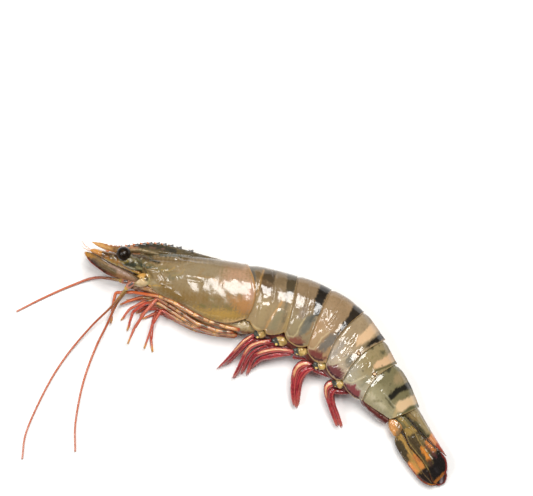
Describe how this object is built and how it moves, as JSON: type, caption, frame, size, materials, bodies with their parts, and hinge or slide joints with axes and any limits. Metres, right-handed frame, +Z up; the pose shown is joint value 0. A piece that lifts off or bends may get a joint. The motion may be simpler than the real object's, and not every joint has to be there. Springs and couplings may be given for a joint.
{
  "type": "raw tiger prawn",
  "caption": "Whole raw tiger prawn with head, shell, striped jointed abdomen, feelers, legs, swimmerets and tail fan, lying on its side.",
  "frame": {"origin": "on the table, under the middle of the bounding box", "axes": "+X from the head towards the tail along the chord, +Y towards the back, +Z up from the table out of the prawn's left flank"},
  "size_m": [0.1908, 0.1342, 0.0216],
  "materials": {
    "carapace_shell": "wet translucent olive-beige shell with dark mottling and a red-brown hem",
    "abdomen_shell": "wet grey-olive shell with black-brown cross bands, peach bands and orange rims",
    "tail_fan": "golden-olive streaks running to orange patches and black ends with a hairy maroon rim",
    "tail_knob": "wet peach-orange",
    "eye": "near-black, very glossy",
    "eyestalk": "grey-green with dark specks",
    "head_appendage": "tan-olive with dark lines and orange tips",
    "feeler": "ringed golden brown running to pinkish red",
    "leg": "wet pink-red with pale stripes and dark bands",
    "swimmeret": "crimson-pink with an orange streak and golden base",
    "underside": "moist tan membrane"
  },
  "bodies": {
    "root": {"carapace": "carapace_shell", "abdomen_1": "abdomen_shell", "abdomen_2": "abdomen_shell", "abdomen_3": "abdomen_shell", "abdomen_4": "abdomen_shell", "abdomen_5": "abdomen_shell", "abdomen_6": "abdomen_shell", "telson": "tail_fan", "uropod_base_left": "tail_knob", "uropod_base_right": "tail_knob", "uropod_inner_left": "tail_fan", "uropod_inner_right": "tail_fan", "uropod_outer_left": "tail_fan", "uropod_outer_right": "tail_fan", "eye_left": "eye", "eyestalk_left": "eyestalk", "eye_right": "eye", "eyestalk_right": "eyestalk", "antennal_scale_left": "head_appendage", "antennule_left": "head_appendage", "antenna_base_left": "head_appendage", "antennal_scale_right": "head_appendage", "antennule_right": "head_appendage", "antenna_base_right": "head_appendage", "feeler_left": "feeler", "feeler_right": "feeler", "feeler_inner": "feeler", "maxilliped_left": "leg", "leg_1_left": "leg", "leg_2_left": "leg", "leg_3_left": "leg", "leg_4_left": "leg", "leg_5_left": "leg", "maxilliped_right": "leg", "leg_1_right": "leg", "leg_2_right": "leg", "leg_3_right": "leg", "leg_4_right": "leg", "leg_5_right": "leg", "swimmeret_1_left": "swimmeret", "swimmeret_2_left": "swimmeret", "swimmeret_3_left": "swimmeret", "swimmeret_4_left": "swimmeret", "swimmeret_5_left": "swimmeret", "swimmeret_1_right": "swimmeret", "swimmeret_2_right": "swimmeret", "swimmeret_3_right": "swimmeret", "swimmeret_4_right": "swimmeret", "swimmeret_5_right": "swimmeret", "sternum": "underside"}
  },
  "joints": []
}
